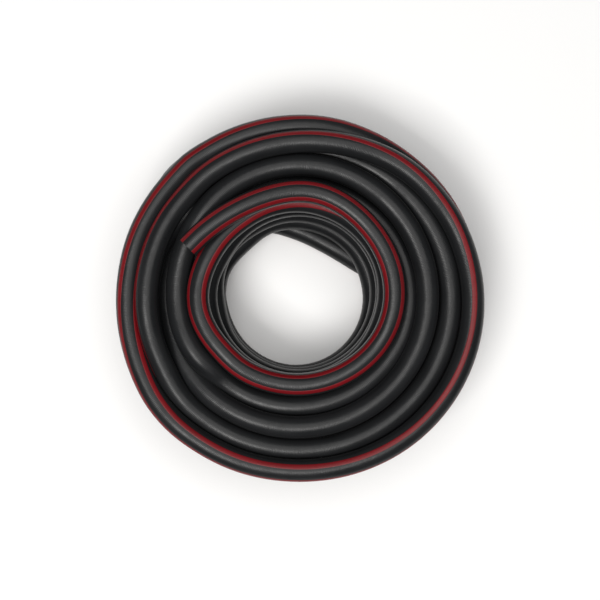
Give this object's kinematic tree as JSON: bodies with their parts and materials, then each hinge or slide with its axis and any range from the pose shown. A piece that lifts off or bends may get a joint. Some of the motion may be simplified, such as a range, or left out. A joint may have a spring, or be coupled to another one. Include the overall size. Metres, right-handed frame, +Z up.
{
  "type": "coiled garden hose",
  "caption": "Reinforced half-inch garden hose with two stripes, wound in a flat-lying coil: one plain cut end lies on top, the other crosses the middle underneath.",
  "frame": {"origin": "on the floor, under the centre of the coil's box", "axes": "+Z up along the coil's axis; seen from above with +Y up the page, the cut end on top lies at the upper left"},
  "size_m": [0.2906, 0.2906, 0.1014],
  "materials": {
    "cover": "semi-gloss dark grey PVC",
    "stripe": "semi-gloss red PVC",
    "braid": "white polyester yarn",
    "liner": "smooth black PVC"
  },
  "bodies": {
    "root": {"coil_body": "cover", "top_lap": "cover", "tail": "cover", "end_cover": "cover", "end_stripe_inner": "stripe", "end_stripe_outer": "stripe", "end_braid": "braid", "end_liner": "liner"}
  },
  "joints": []
}
